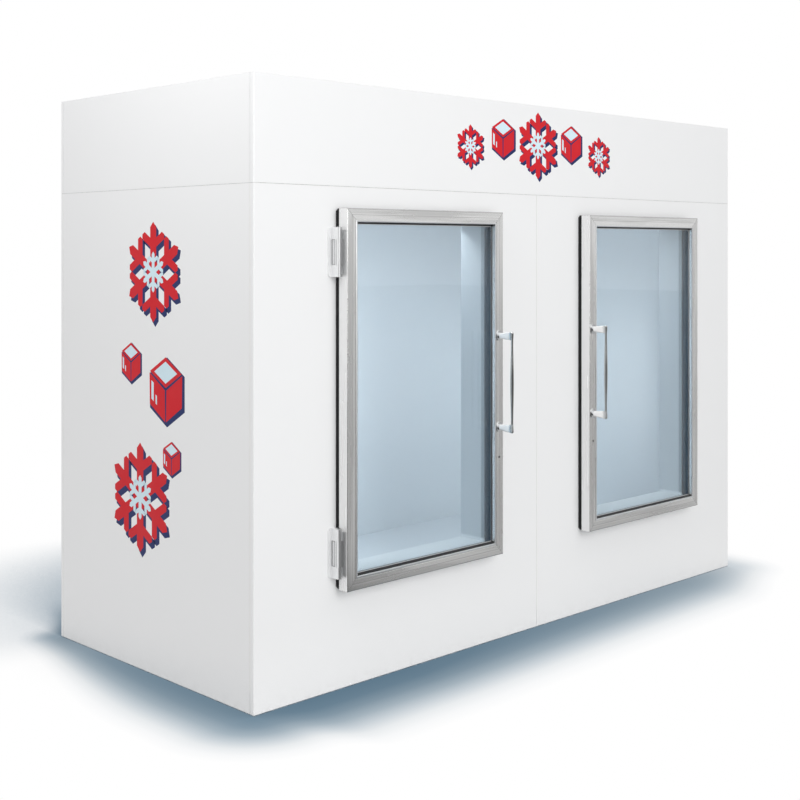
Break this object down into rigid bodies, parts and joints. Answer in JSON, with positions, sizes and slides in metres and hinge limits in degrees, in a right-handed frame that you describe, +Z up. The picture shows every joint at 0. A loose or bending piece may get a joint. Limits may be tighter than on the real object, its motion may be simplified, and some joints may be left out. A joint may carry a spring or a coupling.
{
  "type": "ice merchandiser freezer",
  "caption": "Wide upright ice freezer: insulated box, hinged glass doors with chrome pulls, and a header hiding the cooling unit.",
  "frame": {"origin": "on the floor, in the middle of the footprint with the door handles counted in its depth", "axes": "+X right as seen from the front, the doors face -Y, +Z up"},
  "size_m": [2.388, 1.13, 1.75],
  "materials": {
    "black_enamel": "semi-gloss",
    "black_plastic": "matt",
    "black_rubber": "matt",
    "cast_zinc": "satin plated casting",
    "chrome": "polished",
    "copper_tube": "drawn copper",
    "door_aluminium": "bright anodised",
    "door_glass": "clear",
    "extruded_aluminium": "satin",
    "fan_blades": "dull",
    "fins": "dull",
    "foam": "rigid foam",
    "galvanised": "dull zinc",
    "gasket_rubber": "matt",
    "jamb_plastic": "satin",
    "lens_plastic": "frosted",
    "liner_paint": "satin",
    "pin_steel": "satin",
    "slate_plastic": "matt",
    "stainless": "satin",
    "vinyl_navy": "printed film",
    "vinyl_pale": "printed film",
    "vinyl_red": "printed film",
    "white_paint": "gloss"
  },
  "bodies": {
    "cabinet": {"base_rails": "galvanised", "base_pan": "galvanised", "side_panels": "white_paint", "back_panel": "white_paint", "left_front_panel": "white_paint", "right_front_panel": "white_paint", "roof_panel": "galvanised", "floor_insulation": "foam", "roof_insulation": "foam", "back_insulation": "foam", "side_insulation": "foam", "front_insulation": "foam", "wall_liner": "liner_paint", "floor_liner": "liner_paint", "ceiling_liner": "liner_paint", "front_liner": "liner_paint", "door_jambs": "jamb_plastic", "header_front": "white_paint", "header_sides": "white_paint", "header_back": "white_paint", "header_posts": "galvanised", "interior_light": "extruded_aluminium", "light_lens": "lens_plastic", "floor_drain": "stainless", "unit_tray": "galvanised", "compressor": "black_enamel", "compressor_mounts": "black_rubber", "terminal_cover": "black_plastic", "condenser_coil": "fins", "condenser_shroud": "galvanised", "fan_motors": "black_enamel", "filter_drier": "copper_tube", "refrigerant_lines": "copper_tube", "control_box": "liner_paint", "cord_bushing": "black_rubber", "evaporator_housing": "white_paint", "evaporator_lid": "white_paint", "evaporator_coil": "fins", "fan_deck": "galvanised", "ceiling_grille": "liner_paint", "drain_pan": "galvanised", "hinge_brackets": "cast_zinc", "hinge_pins": "pin_steel"},
    "left_door": {"left_door_frame": "door_aluminium", "left_door_inner_frame": "slate_plastic", "left_door_panes": "door_glass", "left_door_spacer": "slate_plastic", "left_door_gasket": "gasket_rubber", "left_door_handle": "chrome", "left_hinge_straps": "cast_zinc"},
    "right_door": {"right_door_frame": "door_aluminium", "right_door_inner_frame": "slate_plastic", "right_door_panes": "door_glass", "right_door_spacer": "slate_plastic", "right_door_gasket": "gasket_rubber", "right_door_handle": "chrome", "right_hinge_straps": "cast_zinc"},
    "condenser_fan": {"condenser_fan": "fan_blades"},
    "left_evaporator_fan": {"left_evaporator_fan": "fan_blades"},
    "right_evaporator_fan": {"right_evaporator_fan": "fan_blades"}
  },
  "joints": [
    {"name": "left_door_hinge", "type": "hinge", "parent": "cabinet", "child": "left_door", "pos_m": [-0.91, -0.482, 0.839], "axis": [0, 0, -1], "range_deg": [0, 115]},
    {"name": "right_door_hinge", "type": "hinge", "parent": "cabinet", "child": "right_door", "pos_m": [0.91, -0.482, 0.839], "axis": [0, 0, 1], "range_deg": [0, 115]},
    {"name": "condenser_fan_spin", "type": "hinge", "parent": "cabinet", "child": "condenser_fan", "pos_m": [-0.83, 0.17, 1.59], "axis": [0, -1, 0], "continuous": true},
    {"name": "left_evaporator_fan_spin", "type": "hinge", "parent": "cabinet", "child": "left_evaporator_fan", "pos_m": [0.0975, 0.024, 1.4113], "axis": [0, 0, 1], "continuous": true},
    {"name": "right_evaporator_fan_spin", "type": "hinge", "parent": "cabinet", "child": "right_evaporator_fan", "pos_m": [0.5625, 0.024, 1.4113], "axis": [0, 0, 1], "continuous": true}
  ]
}
